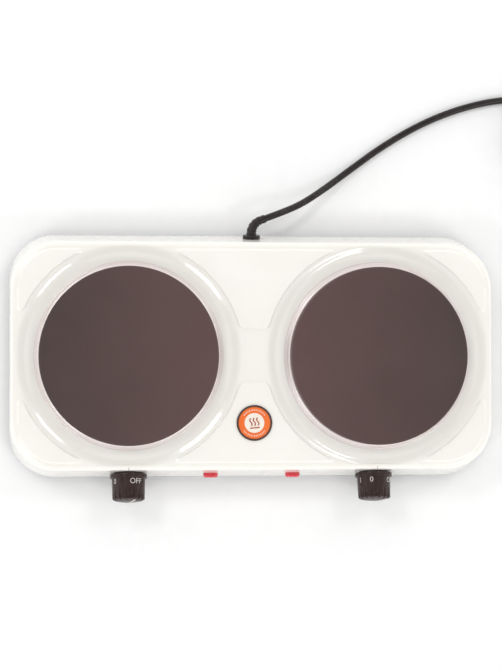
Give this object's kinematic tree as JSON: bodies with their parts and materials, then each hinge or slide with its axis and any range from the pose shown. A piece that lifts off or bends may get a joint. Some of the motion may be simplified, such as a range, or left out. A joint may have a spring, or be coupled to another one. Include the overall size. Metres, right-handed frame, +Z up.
{
  "type": "double hot plate",
  "caption": "Free-standing electric hot plate: low enamelled steel housing, two equal round cast-iron plates in bright rings, two front knobs, lamps and a mains lead.",
  "frame": {"origin": "on the worktop, under the middle of the appliance's bounding box with its knobs and without its lead", "axes": "+X to the right of a cook facing the knobs, +Y to the back, +Z up"},
  "size_m": [0.65, 0.44, 0.074],
  "materials": {
    "enamel": "gloss cream enamel",
    "galvanised_steel": "dull zinc",
    "plated_steel": "bright zinc",
    "cast_iron": "heat-proof brown-black coating",
    "stainless_trim": "polished stainless",
    "heater_wire": "oxidised",
    "ceramic": "matte steatite",
    "brass": "plain",
    "knob_plastic": "moulded dark brown",
    "pointer_plastic": "pale grey",
    "lamp_red": "translucent red",
    "lamp_sleeve": "natural nylon",
    "badge_dark": "dark brown",
    "badge_orange": "orange print under lacquer",
    "badge_cream": "cream print under lacquer",
    "foot_rubber": "matte black",
    "cord_pvc": "black PVC",
    "tie_plastic": "black",
    "pin_nickel": "nickel plated",
    "block_plastic": "natural",
    "wire_insulation": "heat-proof sleeve"
  },
  "bodies": {
    "housing": {"badge_band": "badge_orange", "badge_centre": "badge_cream", "badge_emblem": "badge_orange", "badge_rim": "badge_dark", "bottom_cover": "galvanised_steel", "centre_studs": "plated_steel", "coil_tie": "tie_plastic", "control_screws": "plated_steel", "cord_clamp": "galvanised_steel", "cord_coil": "cord_pvc", "cord_gland": "cord_pvc", "cord_run": "cord_pvc", "cord_tail": "cord_pvc", "cover_screws": "plated_steel", "earth_tag": "plated_steel", "feet": "foot_rubber", "foot_nuts": "plated_steel", "foot_screws": "plated_steel", "lamp_bodies": "lamp_sleeve", "lamp_clips": "galvanised_steel", "lead_inner_end": "cord_pvc", "left_ceramic_fill": "ceramic", "left_clamp_strap": "galvanised_steel", "left_heat_shield": "galvanised_steel", "left_heater_coils": "heater_wire", "left_hot_plate": "cast_iron", "left_lamp_lens": "lamp_red", "left_plate_connector": "ceramic", "left_thermostat_blades": "brass", "left_thermostat_body": "ceramic", "left_thermostat_bush": "brass", "left_trim_ring": "stainless_trim", "plate_tabs": "brass", "plug_body": "cord_pvc", "plug_pins": "pin_nickel", "right_ceramic_fill": "ceramic", "right_clamp_strap": "galvanised_steel", "right_heat_shield": "galvanised_steel", "right_heater_coils": "heater_wire", "right_hot_plate": "cast_iron", "right_lamp_lens": "lamp_red", "right_plate_connector": "ceramic", "right_thermostat_blades": "brass", "right_thermostat_body": "ceramic", "right_thermostat_bush": "brass", "right_trim_ring": "stainless_trim", "stud_nuts": "plated_steel", "terminal_block": "block_plastic", "terminal_screws": "plated_steel", "thermostat_brackets": "galvanised_steel", "top_housing": "enamel", "wiring": "wire_insulation"},
    "left_control": {"left_knob": "knob_plastic", "left_knob_pointer": "pointer_plastic", "left_knob_clip": "plated_steel", "left_spindle": "plated_steel"},
    "right_control": {"right_knob": "knob_plastic", "right_knob_pointer": "pointer_plastic", "right_knob_clip": "plated_steel", "right_spindle": "plated_steel"}
  },
  "joints": [
    {"name": "left_knob_turn", "type": "hinge", "parent": "housing", "child": "left_control", "pos_m": [-0.13, -0.11051, 0.033], "axis": [0, 0.9781, -0.2079], "range_deg": [-26, 244]},
    {"name": "right_knob_turn", "type": "hinge", "parent": "housing", "child": "right_control", "pos_m": [0.13, -0.11051, 0.033], "axis": [0, 0.9781, -0.2079], "range_deg": [-63, 207]}
  ]
}
